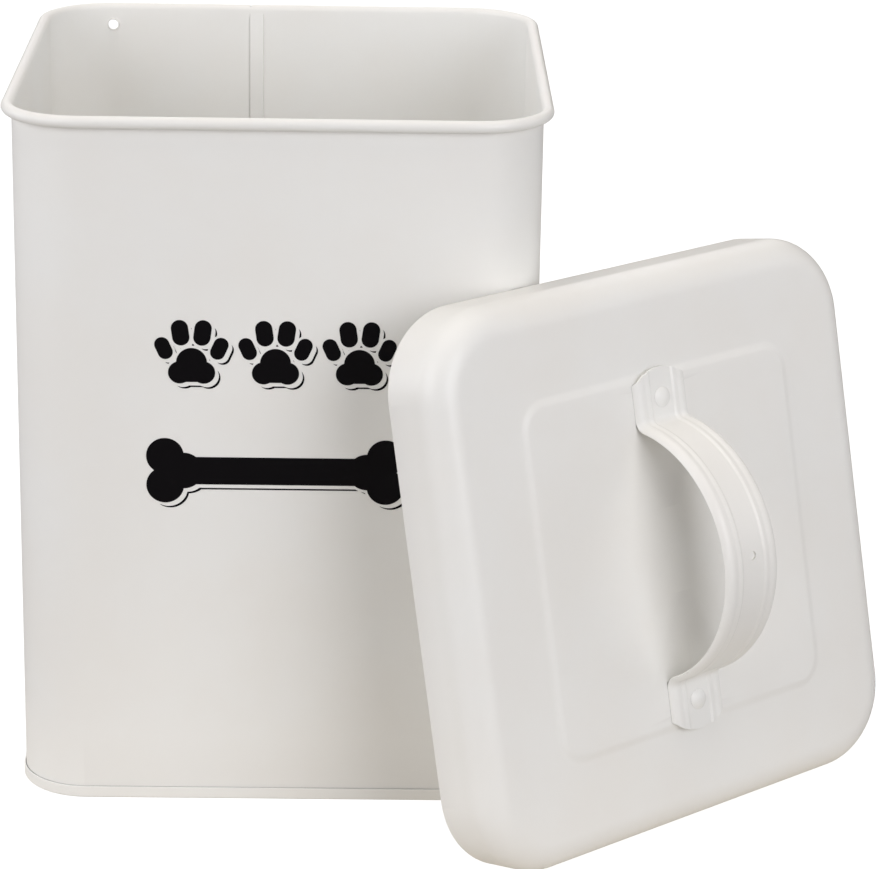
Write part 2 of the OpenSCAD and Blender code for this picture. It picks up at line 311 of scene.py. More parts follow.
def mottled(name, pitch, detail, tones, gloss, relief, others):
    """A material whose tone, gloss and height all follow one fine noise."""
    material, tree = new_material(name)
    place = add_node(tree, "ShaderNodeTexCoord").outputs["Object"]
    noise = add_node(tree, "ShaderNodeTexNoise", {
        "Vector": place, "Scale": 1 / pitch, "Detail": detail}).outputs["Fac"]
    tone = add_node(tree, "ShaderNodeMix", {
        "Factor": noise, MIX_A: four(tones[0]), MIX_B: four(tones[1])}, data_type="RGBA")
    sheen = add_node(tree, "ShaderNodeMapRange", {
        "Value": noise, "To Min": gloss[0], "To Max": gloss[1]})
    bump = add_node(tree, "ShaderNodeBump", {
        "Height": noise, "Strength": relief[0], "Distance": relief[1]})
    shader = add_node(tree, "ShaderNodeBsdfPrincipled", {
        "Base Color": tone.outputs[MIX_RESULT], "Roughness": sheen.outputs["Result"],
        "Normal": bump.outputs["Normal"], **others})
    shown(tree, shader)
    return material


def drawn_wire():
    """Drawn steel wire: bright grey metal, with the lines that the die leaves 0.3 mm apart."""
    wire = bpy.context.scene.bin_finishes.wire
    return mottled("drawn_steel_wire", 0.3 * MM, 2.0, (wire, [0.8 * c for c in wire]),
                   (0.24, 0.42), (0.2, 0.02 * MM), {"Metallic": 1.0})


def transfer_ink():
    """Fired ceramic transfer: near black, with the 0.8 mm mottle that the screen leaves."""
    look = bpy.context.scene.bin_finishes
    return mottled("fired_black_transfer", 0.8 * MM, 3.0, (look.ink, look.ink_worn),
                   (0.3, 0.42), (0.15, 0.01 * MM), {"Specular IOR Level": 0.12, "IOR": 1.5})


def matt_sheet(name, colour, glow, tint):
    """A matt sheet with a faint tooth, which also gives some light of its own."""
    material, tree = new_material(name)
    place = add_node(tree, "ShaderNodeTexCoord").outputs["Object"]
    tooth = add_node(tree, "ShaderNodeTexNoise", {
        "Vector": place, "Scale": 1 / (2 * MM), "Detail": 2.0})
    bump = add_node(tree, "ShaderNodeBump", {
        "Height": tooth.outputs["Fac"], "Strength": 0.1, "Distance": 0.05 * MM})
    shader = add_node(tree, "ShaderNodeBsdfPrincipled", {
        "Base Color": four(colour), "Roughness": 0.9, "Specular IOR Level": 0.1,
        "Normal": bump.outputs["Normal"], "Emission Color": four(tint),
        "Emission Strength": glow})
    shown(tree, shader)
    return material


def lit_floor():
    """White translucent acrylic lit from inside: even white, with only a faint shadow."""
    look = bpy.context.scene.bin_finishes
    return matt_sheet("lit_white_acrylic", look.floor, bpy.context.scene.bin_stage.glow,
                      (1.0, 1.0, 1.0))


def bounce_paper(name, glow):
    """Warm white paper: sends soft warm light back up under the object."""
    look = bpy.context.scene.bin_finishes
    return matt_sheet(name, look.paper, glow, look.near)


# ---- mesh tools


def arc(middle, radius, start, end, steps):
    """Points on an arc in a section, from one angle to the other, in degrees."""
    turns = [radians(start + (end - start) * i / steps) for i in range(steps + 1)]
    return [(middle[0] + radius * cos(a), middle[1] + radius * sin(a)) for a in turns]


def outline(half_x, half_y, radius, extra=()):
    """Points round a rectangle with round corners, each with its way out.

    extra gives more places along the back side, as x positions.
    """
    path = []
    corners = [(1, -1, -90), (1, 1, 0), (-1, 1, 90), (-1, -1, 180)]
    for i, (sx, sy, start) in enumerate(corners):
        middle = (sx * (half_x - radius), sy * (half_y - radius))
        turns = [radians(start + 90 * k / ARC_STEPS) for k in range(ARC_STEPS + 1)]
        path += [(middle[0] + radius * cos(a), middle[1] + radius * sin(a),
                  cos(a), sin(a)) for a in turns]
        after = corners[(i + 1) % 4]
        goal = (after[0] * (half_x - radius), after[1] * (half_y - radius))
        way = (cos(turns[-1]), sin(turns[-1]))
        run = sqrt((goal[0] - middle[0]) ** 2 + (goal[1] - middle[1]) ** 2)
        stops = [SUPPORT, run / 4, run / 2, 3 * run / 4, run - SUPPORT]
        if i == 1:  # the back side runs from +x to -x
            stops = sorted(stops + [half_x - radius - x for x in extra])
        for stop in stops:
            t = stop / run
            path.append((middle[0] + (goal[0] - middle[0]) * t + radius * way[0],
                         middle[1] + (goal[1] - middle[1]) * t + radius * way[1], *way))
    return path


def add_object(name, data):
    """A new object in the scene."""
    made = bpy.data.objects.new(name, data)
    bpy.context.scene.collection.objects.link(made)
    return made


def finished(name, mesh, body, nodes, material):
    """Puts a finished mesh in the scene as the piece that stands for its CAD nodes."""
    piece = add_object(name, mesh)
    mesh.materials.clear()
    mesh.materials.append(material)
    mesh.shade_smooth()
    mesh.set_sharp_from_angle(angle=SHARP)
    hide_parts(*nodes)
    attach(piece, body)
    return piece


def mesh_from(name, form):
    """A mesh with its normals outward, from a closed bmesh form."""
    bmesh.ops.recalc_face_normals(form, faces=form.faces)
    mesh = bpy.data.meshes.new(name)
    form.to_mesh(mesh)
    form.free()
    return mesh


def ring_grid(form, rings, closed):
    """Joins rings of points with quads, and the last to the first where closed."""
    made = [[form.verts.new(p) for p in ring] for ring in rings]
    count = len(made[0])
    for i in range(len(made) if closed else len(made) - 1):
        here, there = made[i], made[(i + 1) % len(made)]
        for k in range(count):
            m = (k + 1) % count
            form.faces.new((here[k], there[k], there[m], here[m]))
    return made


def to_mesh(holder):
    """The mesh that an object's modifiers make. The object is then removed."""
    bpy.context.view_layer.update()
    graph = bpy.context.evaluated_depsgraph_get()
    mesh = bpy.data.meshes.new_from_object(holder.evaluated_get(graph))
    bpy.data.objects.remove(holder)
    if not mesh.polygons:
        raise RuntimeError("a modifier left no faces")
    return mesh


def cut(mesh, cutters):
    """The mesh after the closed cutter forms are taken out of it."""
    host = add_object("host", mesh)
    tool = add_object("tool", mesh_from("tool", cutters))
    take = host.modifiers.new("take", "BOOLEAN")
    take.operation = "DIFFERENCE"
    take.solver = "EXACT"
    take.object = tool
    result = to_mesh(host)
    bpy.data.objects.remove(tool)
    return result


def add_box(form, low, high):
    """A closed box in a form of cutters."""
    middle = (Vector(low) + Vector(high)) / 2
    size = Vector(high) - Vector(low)
    place = Matrix.Translation(middle) @ Matrix.Diagonal((*size, 1.0))
    bmesh.ops.create_cube(form, size=1.0, matrix=place)


def add_rod(form, foot, way, radius, reach, sides=64):
    """A closed rod in a form of cutters."""
    turn = Vector(way).to_track_quat("Z", "Y").to_matrix().to_4x4()
    middle = Vector(foot) + Vector(way).normalized() * reach / 2
    place = Matrix.Translation(middle) @ turn
    bmesh.ops.create_cone(form, cap_ends=True, segments=sides, radius1=radius,
                          radius2=radius, depth=reach, matrix=place)


def lid_place():
    """Matrix that carries x along the lid, y up its face and z out of it."""
    out = Vector(frame["joints"][0]["axis"]).normalized()
    along = Vector((-out.y, out.x, 0)).normalized()
    up = out.cross(along)
    points = [v.co for v in frame["nodes"]["lid_shell"].data.vertices]
    spans = [[p.dot(axis) for p in points] for axis in (along, up, out)]
    middle = (along * (max(spans[0]) + min(spans[0])) / 2
              + up * (max(spans[1]) + min(spans[1])) / 2 + out * min(spans[2]))
    place = Matrix((along, up, out)).transposed().to_4x4()
    place.translation = middle
    size = [max(s) - min(s) for s in spans]
    return place, size


# ---- pieces


def seam_foot(sizes):
    """Height of the lock seam's lower end, just above the base panel."""
    return BASE_LOW.z + sizes.base_rise + sizes.sheet + 1 * MM


def wall_section(sizes):
    """Closed section of the wall and its rolled rim, as (outward, height) points."""
    rim = sizes.rim / 2
    bore = rim - sizes.sheet
    top = WALL_HIGH.z - rim
    low = WALL_LOW.z
    middle = (bore, top)
    # The roll ends where its free edge is one gap short of the wall.
    across = bore - sizes.rim_gap
    open_out = 270 - degrees(atan2(across, sqrt(rim ** 2 - across ** 2)))
    open_in = 270 - degrees(atan2(across, sqrt(bore ** 2 - across ** 2)))
    levels = [low + (top - low) * k / LEVELS for k in range(1, LEVELS)]
    below_roll = top - 4 * MM
    foot = seam_foot(sizes)
    heights = [low + BREAK, low + SUPPORT, foot - SEAM_BLEND, foot + SEAM_BLEND, *levels,
               below_roll, top - SUPPORT]
    inner = [(-sizes.sheet, height) for height in heights]
    roll_out = arc(middle, rim, 180, open_out - 360, ROLL_STEPS)
    roll_in = arc(middle, bore, open_in - 360, 180, ROLL_STEPS)
    heights = [top - SUPPORT, below_roll, *reversed(levels), low + SUPPORT, low + BREAK]
    outer = [(0, height) for height in heights]
    end = [(-BREAK, low), (-sizes.sheet + BREAK, low)]
    return inner + roll_out + roll_in + outer + end


def seam_line(sizes):
    """Points (x, height off the wall) across the lock seam, with a fine groove each side."""
    left = -sizes.seam_x - sizes.seam_w / 2
    right = left + sizes.seam_w
    groove = -0.15 * MM
    return [(left - 0.6 * MM, 0.0), (left - 0.35 * MM, groove), (left - 0.05 * MM, groove),
            (left + 0.05 * MM, sizes.seam_t), (right - 0.5 * MM, sizes.seam_t),
            (right, groove / 2), (right + 0.3 * MM, groove / 2), (right + 0.6 * MM, 0.0)]


def seam_push(x, height, sizes):
    """How far the lock seam stands into the bin at a place on the inside of the back wall."""
    line = seam_line(sizes)
    across = 0.0
    for (x0, push0), (x1, push1) in zip(line, line[1:]):
        if x0 <= x <= x1:
            across = push0 + (push1 - push0) * (x - x0) / (x1 - x0)
    fade = 2.5 * MM  # height over which the seam runs out below the roll
    head = WALL_HIGH.z - sizes.rim / 2 - SUPPORT
    start = seam_foot(sizes) - SEAM_BLEND
    tall = min(1.0, max(0.0, (height - start) / (2 * SEAM_BLEND)))
    tall *= min(1.0, max(0.0, (head - height) / fade))
    return across * tall


def vent_lip(form, spot, radius, wall):
    """Low lip that the punch leaves round the hanging hole, on the inside of the wall."""
    stages = [(0.0, -0.4 * wall), (0.0, 0.6 * wall), (0.15 * MM, 0.75 * wall),
              (0.4 * MM, 0.75 * wall), (0.8 * MM, 0.1 * wall), (1.0 * MM, -0.4 * wall)]
    rings = []
    for out, high in stages:
        circle = arc((spot[0], spot[2]), radius + out, 0, 360, 64)[:-1]
        rings.append([(x, spot[1] - high, z) for x, z in circle])
    ring_grid(form, rings, True)


def make_wall(sizes):
    """Wall with its rolled rim, lock seam, hanging hole and the butt joint of the roll."""
    half_x = WALL_HIGH.x - sizes.rim + sizes.sheet
    half_y = WALL_HIGH.y - sizes.rim + sizes.sheet
    left = -sizes.seam_x - sizes.seam_w / 2
    places = [x for x, _ in seam_line(sizes)]
    places = [places[0] - 1 * MM] + places + [places[-1] + 1 * MM]
    path = outline(half_x, half_y, sizes.corner, places)
    section = wall_section(sizes)
    form = bmesh.new()
    rings = []
    for x, y, nx, ny in path:
        ring = []
        for out, height in section:
            push = 0.0
            at_back = ny > NEARLY
            inside = out < -NEARLY * sizes.sheet
            if at_back and inside:
                push = seam_push(x, height, sizes)
            ring.append((x + nx * (out - push), y + ny * (out - push), height))
        rings.append(ring)
    ring_grid(form, rings, True)
    mesh = mesh_from("body_wall_coat", form)
    cutters = bmesh.new()
    past = 1 * MM  # how far a cutter goes past what it cuts
    skim = 0.02 * MM  # keeps the cut through the roll off the wall
    vent_z = WALL_HIGH.z - sizes.vent_drop
    inner_y = half_y - sizes.sheet
    add_rod(cutters, (-sizes.vent_x, inner_y - past, vent_z), (0, 1, 0), sizes.vent / 2,
            sizes.sheet + 2 * past, HOLE_SIDES)
    # The two ends of the roll meet above the seam, with a fine gap between them.
    roll_z = WALL_HIGH.z - sizes.rim / 2
    add_box(cutters, (left, half_y + skim, roll_z - sizes.rim),
            (left + sizes.rim_gap, half_y + 2 * sizes.rim, roll_z + sizes.rim))
    # Outside, the lock seam shows only as a thin groove.
    half_sheet = sizes.sheet / 2
    add_box(cutters, (left, half_y - half_sheet, BASE_HIGH.z + 1 * MM),
            (left + half_sheet, half_y + half_sheet, WALL_HIGH.z - sizes.rim - sizes.rim_gap))
    mesh = cut(mesh, cutters)
    form = bmesh.new()
    form.from_mesh(mesh)
    vent_lip(form, (-sizes.vent_x, inner_y, vent_z), sizes.vent / 2, sizes.sheet)
    return mesh_from("body_wall_coat", form)


def loft(name, loops):
    """Closed shell through loops of (half x, half y, corner radius, height), capped flat."""
    form = bmesh.new()
    rings = [[(x, y, loop[3]) for x, y, _, _ in outline(*loop[:3])] for loop in loops]
    made = ring_grid(form, rings, False)
    form.faces.new(made[0])
    form.faces.new(made[-1])
    return mesh_from(name, form)


def make_base(sizes):
    """Base pan whose edge folds round the foot of the wall."""
    half_x = BASE_HIGH.x - sizes.hem_clear - sizes.sheet
    half_y = BASE_HIGH.y - sizes.hem_clear - sizes.sheet
    sheet, clear = sizes.sheet, sizes.hem_clear
    inner = -sheet - clear
    top = BASE_HIGH.z
    floor = BASE_LOW.z
    plate = floor + sizes.base_rise
    bend = 0.9 * MM
    inside = 0.3 * MM  # radius of the inside of the fold
    edge = 0.25 * MM
    margin = 20 * MM  # how far the flat panel is followed in from the fold
    deep = inner - sheet
    section = [(deep - margin, plate + sheet), (deep - SUPPORT, plate + sheet)]
    section += arc((inner - bend, plate + sheet - bend), bend, 90, 0, BEND_STEPS)
    section += [(inner, floor + sheet + bend / 2)]
    section += arc((inner + inside, floor + sheet + inside), inside, 180, 270, FOLD_STEPS)
    section += arc((clear - inside, floor + sheet + inside), inside, 270, 360, FOLD_STEPS)
    section += [(clear, floor + sheet + bend), (clear, top - SUPPORT)]
    section += arc((clear + edge, top - edge), edge, 180, 90, EDGE_STEPS)
    section += arc((clear + sheet - edge, top - edge), edge, 90, 0, EDGE_STEPS)
    section += [(clear + sheet, top - SUPPORT / 2), (clear + sheet, floor + bend + SUPPORT / 2)]
    section += arc((clear + sheet - bend, floor + bend), bend, 0, -90, BEND_STEPS)
    section += arc((deep + bend, floor + bend), bend, 270, 180, BEND_STEPS)
    section += [(deep, plate - 2 * edge)]
    section += arc((deep - edge, plate - edge), edge, 0, 90, EDGE_STEPS)
    section += [(deep - SUPPORT, plate), (deep - margin, plate)]
    loops = [(half_x + out, half_y + out, sizes.corner + out, height)
             for out, height in section]
    return loft("base_pan_coat", loops)


def rivet_drills(handle, foot):
    """Cutters of the two holes that the rivets go through."""
    cutters = bmesh.new()
    for end in (-1, 1):
        add_rod(cutters, (0, end * handle.rivet_v, foot), (0, 0, 1), handle.bore / 2,
                DRILL_LENGTH)
    return cutters


def make_lid(sizes, sheet):
    """Lid with a soft edge, a raised square panel and a hem folded inside its open edge."""
    place, size = lid_place()
    inset = 0.02 * MM  # keeps the lid just inside its own frame
    half_x, half_y = size[0] / 2 - inset, size[1] / 2 - inset
    face = size[2] - sizes.rise
    fold = sheet + 0.1 * MM  # outer radius of the hem's fold
    edge = 0.2 * MM  # radius of the hem's cut edge
    soft = 0.9 * MM  # how far the slope's ends blend into the panel and the border
    margin = 60 * MM  # how far the flat panel is followed in from its slope
    loops = []

    def panel(points):
        """Loops through (out from the panel's edge, height) points."""
        for out, height in points:
            corner = max(sizes.panel_corner + out, 1 * MM)
            half = sizes.panel / 2 + out
            loops.append((half, half, corner, height))

    def skirt(points):
        """Loops through (out from the skirt's outside, height) points."""
        for out, height in points:
            loops.append((half_x + out, half_y + out, sizes.corner + out, height))

    def slope(low, high):
        """Points of the smooth step from the panel down to the border."""
        steps = [k / SLOPE_STEPS for k in range(SLOPE_STEPS + 1)]
        reach = sizes.slope + 2 * soft
        step = [(-soft + reach * t, high + (low - high) * t * t * (3 - 2 * t)) for t in steps]
        return [(-soft - SUPPORT, high)] + step + [(sizes.slope + soft + SUPPORT, low)]

    turn = (-sizes.edge, face - sizes.edge)
    fold_place = (-fold, fold)
    hem_in = -2 * fold
    hem_edge = sizes.hem - edge
    panel([(-margin, size[2])] + slope(face, size[2]))
    skirt([(-sizes.edge - SUPPORT, face)])
    skirt(arc(turn, sizes.edge, 90, 0, SOFT_STEPS))
    skirt([(0, face - sizes.edge - SUPPORT), (0, fold + SUPPORT)])
    skirt(arc(fold_place, fold, 0, -180, 2 * BEND_STEPS))
    skirt([(hem_in, sizes.hem - SUPPORT)])
    skirt(arc((hem_in + edge, hem_edge), edge, 180, 90, HEM_STEPS))
    skirt(arc((hem_in + sheet - edge, hem_edge), edge, 90, 0, HEM_STEPS))
    skirt(arc(fold_place, fold - sheet, -180, 0, BEND_STEPS))
    skirt([(-sheet, fold + SUPPORT), (-sheet, face - sizes.edge - SUPPORT)])
    skirt(arc(turn, sizes.edge - sheet, 0, 90, SOFT_STEPS))
    skirt([(-sizes.edge - SUPPORT, face - sheet)])
    panel(reversed(slope(face - sheet, size[2] - sheet)))
    panel([(-margin, size[2] - sheet)])
    mesh = loft("lid_shell_coat", loops)
    mesh = cut(mesh, rivet_drills(bpy.context.scene.bin_handle, face - DRILL_START))
    mesh.transform(place)
    return mesh


def strap_profile(sizes):
    """Top line of the strap's section, from one lower edge to the other."""
    lip = degrees(asin((sizes.roll - sizes.height) / sizes.roll))
    reach = sizes.dip / 2 + 0.5 * MM  # half width of the step beside the channel
    count = 8  # points in the step, and in the valley outside it
    low = sizes.height - sizes.dip
    half = [(0, low), (sizes.channel / 2, low)]
    for k in range(count + 1):
        t = k / count
        half.append((sizes.channel - reach + 2 * reach * t,
                     low + sizes.dip * t * t * (3 - 2 * t)))
    start = sizes.channel + reach
    for k in range(1, count):
        half.append((start + (sizes.rail - start) * k / count,
                     sizes.height - sizes.bead * (1 - cos(2 * pi * k / count)) / 2))
    half += arc((sizes.rail, sizes.height - sizes.roll), sizes.roll, 90, lip, LIP_STEPS)
    return [(-x, y) for x, y in reversed(half[1:])] + half


def strap_route(sizes, face):
    """Middle line of the strap's lower edges, as (up the lid, out of the lid) points."""
    inside = sizes.arch - sizes.height
    seat = face + sizes.seat
    lean = degrees(asin(ARCH_LEAN))
    foot_v = (inside + sizes.bend) * cos(radians(lean))
    middle = seat + sizes.bend - (inside + sizes.bend) * sin(radians(lean))
    end = sizes.rivet_v + sizes.tip
    half = arc((0, middle), inside, 90, lean, ARCH_STEPS)
    half += arc((foot_v, seat + sizes.bend), sizes.bend, 180 + lean, 270, KNEE_STEPS)[1:]
    half += [(foot_v + (end - foot_v) * k / FOOT_STEPS, seat)
             for k in range(1, FOOT_STEPS + 1)]
    return [(-v, w) for v, w in reversed(half[1:])] + half, foot_v, middle + inside


def poly_curve(name, points):
    """An open line through points, for the sweep to read."""
    data = bpy.data.curves.new(name, "CURVE")
    data.dimensions = "3D"
    spline = data.splines.new("POLY")
    spline.points.add(len(points) - 1)
    for point, co in zip(spline.points, points):
        point.co = (*co, 1.0)
    return add_object(name, data)


def node_group(name, inputs):
    """A node group with named inputs, given as pairs of a name and a kind of socket."""
    tree = bpy.data.node_groups.new(name, "GeometryNodeTree")
    for label, kind in inputs:
        tree.interface.new_socket(label, in_out="INPUT", socket_type="NodeSocket" + kind)
    tree.interface.new_socket("Geometry", in_out="OUTPUT", socket_type="NodeSocketGeometry")
    return tree


def end_group(tree, geometry, coat):
    """Ends a node group in real geometry with its material."""
    real = add_node(tree, "GeometryNodeRealizeInstances", {0: geometry})
    dressed = add_node(tree, "GeometryNodeSetMaterial", {
        "Geometry": real.outputs[0], "Material": coat})
    add_node(tree, "NodeGroupOutput", {0: dressed.outputs[0]})


def from_nodes(name, tree, values):
    """An object whose modifier runs a node group with a value for each named input."""
    holder = add_object(name, bpy.data.meshes.new(name))
    modifier = holder.modifiers.new("make", "NODES")
    modifier.node_group = tree
    for socket in tree.interface.items_tree:
        if socket.in_out == "INPUT":
            modifier[socket.identifier] = values[socket.name]
    return holder


def sweep_group():
    """Node group that carries a section line along a route line, as one open sheet."""
    tree = node_group("strap_sweep", (
        ("Route", "Object"), ("Section", "Object"), ("Rings", "Int"),
        ("Points across", "Int"), ("Foot start", "Float"), ("Foot end", "Float"),
        ("Foot radius", "Float"), ("Coat", "Material")))
    given = add_node(tree, "NodeGroupInput").outputs
    # A flat grid of one unit, from -0.5 to 0.5, is laid along both lines.
    grid = add_node(tree, "GeometryNodeMeshGrid", {
        "Size X": 1.0, "Size Y": 1.0, "Vertices X": given["Rings"],
        "Vertices Y": given["Points across"]})
    spot = add_node(tree, "ShaderNodeSeparateXYZ", {
        0: add_node(tree, "GeometryNodeInputPosition").outputs[0]}).outputs
    lines = []
    for name, axis in (("Route", 0), ("Section", 1)):
        line = add_node(tree, "GeometryNodeObjectInfo", {"Object": given[name]})
        along = add_node(tree, "ShaderNodeMath", {0: spot[axis], 1: 0.5}, operation="ADD")
        inputs = {"Curves": line.outputs["Geometry"], "Factor": along.outputs[0]}
        lines.append(add_node(tree, "GeometryNodeSampleCurve", inputs, mode="FACTOR",
                              use_all_curves=False))
    route, section = lines
    flat = add_node(tree, "ShaderNodeSeparateXYZ", {0: section.outputs["Position"]}).outputs
    side = (1.0, 0.0, 0.0)
    rise = add_node(tree, "ShaderNodeVectorMath", {
        0: side, 1: route.outputs["Tangent"]}, operation="CROSS_PRODUCT").outputs[0]
    up = add_node(tree, "ShaderNodeVectorMath", {
        0: rise, "Scale": flat[1]}, operation="SCALE").outputs[0]
    lifted = add_node(tree, "ShaderNodeVectorMath", {
        0: route.outputs["Position"], 1: up}, operation="ADD").outputs[0]
    out = add_node(tree, "ShaderNodeSeparateXYZ", {0: lifted}).outputs
    # The foot is drawn in to its round end, in step with its distance from the bend.
    known = {"across": flat[0], "along": out[1], "start": given["Foot start"],
             "end": given["Foot end"], "radius": given["Foot radius"]}
    for name, operation, *terms in (
            ("reach", "ABSOLUTE", "along"),
            ("way", "SIGN", "along"),
            ("over", "SUBTRACT", "reach", "start"),
            ("past", "MAXIMUM", "over", 0.0),
            ("radius squared", "MULTIPLY", "radius", "radius"),
            ("across squared", "MULTIPLY", "across", "across"),
            ("rise squared", "SUBTRACT", "radius squared", "across squared"),
            ("rise", "SQRT", "rise squared"),
            ("middle", "SUBTRACT", "end", "radius"),
            ("tip", "ADD", "middle", "rise"),
            ("drawn length", "SUBTRACT", "tip", "start"),
            ("whole length", "SUBTRACT", "end", "start"),
            ("ratio", "DIVIDE", "drawn length", "whole length"),
            ("drawn past", "MULTIPLY", "past", "ratio"),
            ("near", "MINIMUM", "reach", "start"),
            ("drawn", "ADD", "near", "drawn past"),
            ("placed", "MULTIPLY", "drawn", "way")):
        values = dict(enumerate(known.get(term, term) for term in terms))
        known[name] = add_node(tree, "ShaderNodeMath", values, operation=operation).outputs[0]
    point = add_node(tree, "ShaderNodeCombineXYZ", {0: flat[0], 1: known["placed"], 2: out[2]})
    moved = add_node(tree, "GeometryNodeSetPosition", {
        "Geometry": grid.outputs["Mesh"], "Position": point.outputs[0]})
    end_group(tree, moved.outputs[0], given["Coat"])
    return tree


def make_strap(sizes, material):
    """Strap handle: a pressed channel between two rails, bent to an arch with two feet."""
    place, size = lid_place()
    route, foot_v, apex = strap_route(sizes, size[2])
    route_line = poly_curve("route", [(0, v, w) for v, w in route])
    section_line = poly_curve("section", [(x, y, 0) for x, y in strap_profile(sizes)])
    holder = from_nodes("strap", sweep_group(), {
        "Route": route_line, "Section": section_line, "Rings": sizes.rings,
        "Points across": sizes.across, "Foot start": foot_v,
        "Foot end": sizes.rivet_v + sizes.tip, "Foot radius": sizes.foot, "Coat": material})
    thick = holder.modifiers.new("gauge", "SOLIDIFY")
    thick.thickness = sizes.gauge
    thick.offset = 1.0
    thick.use_even_offset = True
    soft = holder.modifiers.new("deburr", "BEVEL")
    soft.width = sizes.deburr
    soft.segments = 2
    soft.limit_method = "ANGLE"
    soft.angle_limit = radians(50)
    mesh = to_mesh(holder)
    for spent in (route_line, section_line):
        bpy.data.objects.remove(spent)
    below = 2 * MM  # how far under a surface a drill starts
    cutters = rivet_drills(sizes, size[2] - below)
    add_rod(cutters, (0, 0, apex - below), (0, 0, 1), sizes.hole / 2, DRILL_LENGTH,
            HOLE_SIDES)
    mesh = cut(mesh, cutters)
    mesh.transform(place)
    return mesh


def rivet_group():
    """Node group that sets one domed rivet at each end of a line."""
    names = ("Head diameter", "Head height", "Shank diameter", "Grip", "Set end diameter",
             "Set end height", "Half distance", "Seat height")
    inputs = [(name, "Float") for name in names]
    tree = node_group("rivet_pair", inputs + [("Coat", "Material")])
    given = add_node(tree, "NodeGroupInput").outputs
    spot = add_node(tree, "ShaderNodeSeparateXYZ", {
        0: add_node(tree, "GeometryNodeInputPosition").outputs[0]}).outputs
    # The dome is the top of a ball. The rest of the ball is pressed flat under it.
    known = {"x": spot[0], "y": spot[1], "z": spot[2]}
    known.update({name: given[name] for name in names})
    for name, operation, *terms in (
            ("rim", "MULTIPLY", "Head diameter", 0.5),
            ("rim squared", "MULTIPLY", "rim", "rim"),
            ("height squared", "MULTIPLY", "Head height", "Head height"),
            ("chord squared", "ADD", "rim squared", "height squared"),
            ("twice height", "MULTIPLY", "Head height", 2.0),
            ("ball", "DIVIDE", "chord squared", "twice height"),
            ("base", "SUBTRACT", "ball", "Head height"),
            ("x squared", "MULTIPLY", "x", "x"),
            ("y squared", "MULTIPLY", "y", "y"),
            ("off squared", "ADD", "x squared", "y squared"),
            ("off", "SQRT", "off squared"),
            ("off or more", "MAXIMUM", "off", 1e-6),
            ("ratio", "DIVIDE", "rim", "off or more"),
            ("shrink", "MINIMUM", "ratio", 1.0),
            ("over", "SUBTRACT", "z", "base"),
            ("dome x", "MULTIPLY", "x", "shrink"),
            ("dome y", "MULTIPLY", "y", "shrink"),
            ("dome z", "MAXIMUM", "over", 0.0),
            ("shank radius", "MULTIPLY", "Shank diameter", 0.5),
            ("shank z", "MULTIPLY", "Grip", -0.5),
            ("tail radius", "MULTIPLY", "Set end diameter", 0.5),
            ("half tail", "MULTIPLY", "Set end height", -0.5),
            ("tail z", "SUBTRACT", "half tail", "Grip"),
            ("start", "MULTIPLY", "Half distance", -1.0),
            ("step", "MULTIPLY", "Half distance", 2.0)):
        values = dict(enumerate(known.get(term, term) for term in terms))
        known[name] = add_node(tree, "ShaderNodeMath", values, operation=operation).outputs[0]
    ball = add_node(tree, "GeometryNodeMeshUVSphere", {
        "Segments": 48, "Rings": 72, "Radius": known["ball"]})
    point = add_node(tree, "ShaderNodeCombineXYZ", {
        0: known["dome x"], 1: known["dome y"], 2: known["dome z"]})
    dome = add_node(tree, "GeometryNodeSetPosition", {
        "Geometry": ball.outputs["Mesh"], "Position": point.outputs[0]})
    head = add_node(tree, "GeometryNodeMergeByDistance", {
        "Geometry": dome.outputs[0], "Distance": 0.01 * MM})
    parts = [head.outputs[0]]
    for radius, depth, middle in (("shank radius", "Grip", "shank z"),
                                  ("tail radius", "Set end height", "tail z")):
        rod = add_node(tree, "GeometryNodeMeshCylinder", {
            "Vertices": 48, "Radius": known[radius], "Depth": known[depth]})
        shift = add_node(tree, "ShaderNodeCombineXYZ", {2: known[middle]})
        parts.append(add_node(tree, "GeometryNodeTransform", {
            "Geometry": rod.outputs["Mesh"], "Translation": shift.outputs[0]}).outputs[0])
    whole = add_node(tree, "GeometryNodeJoinGeometry")
    for part in parts:
        tree.links.new(part, whole.inputs[0])
    start = add_node(tree, "ShaderNodeCombineXYZ", {1: known["start"], 2: known["Seat height"]})
    step = add_node(tree, "ShaderNodeCombineXYZ", {1: known["step"]})
    line = add_node(tree, "GeometryNodeMeshLine", {
        "Count": 2, "Start Location": start.outputs[0],
        "Offset": step.outputs[0]}, mode="OFFSET")
    spread = add_node(tree, "GeometryNodeInstanceOnPoints", {
        "Points": line.outputs[0], "Instance": whole.outputs[0]})
    end_group(tree, spread.outputs[0], given["Coat"])
    return tree


def make_rivets(sizes, sheet, material):
    """The two rivets that hold the strap to the lid."""
    place, size = lid_place()
    level = size[2] + 2 * sizes.seat + sizes.height - sizes.dip
    under = size[2] - sheet - sizes.seat
    mesh = to_mesh(from_nodes("rivets", rivet_group(), {
        "Head diameter": sizes.head, "Head height": sizes.head_h,
        "Shank diameter": sizes.shank, "Grip": level - under,
        "Set end diameter": sizes.tail, "Set end height": sizes.tail_h,
        "Half distance": sizes.rivet_v, "Seat height": level, "Coat": material}))
    mesh.transform(place)
    return mesh


# ---- operators


class FOODBIN_OT_wall(Operator):
    """Makes the bin's wall with its rolled rim, lock seam and hanging hole"""
    bl_idname = "foodbin.wall"
    bl_label = "Wall"

    def execute(self, context):
        mesh = make_wall(context.scene.bin_sizes)
        finished("body_wall_coat", mesh, "bin", ["body_wall"], powder_coat())
        return {"FINISHED"}


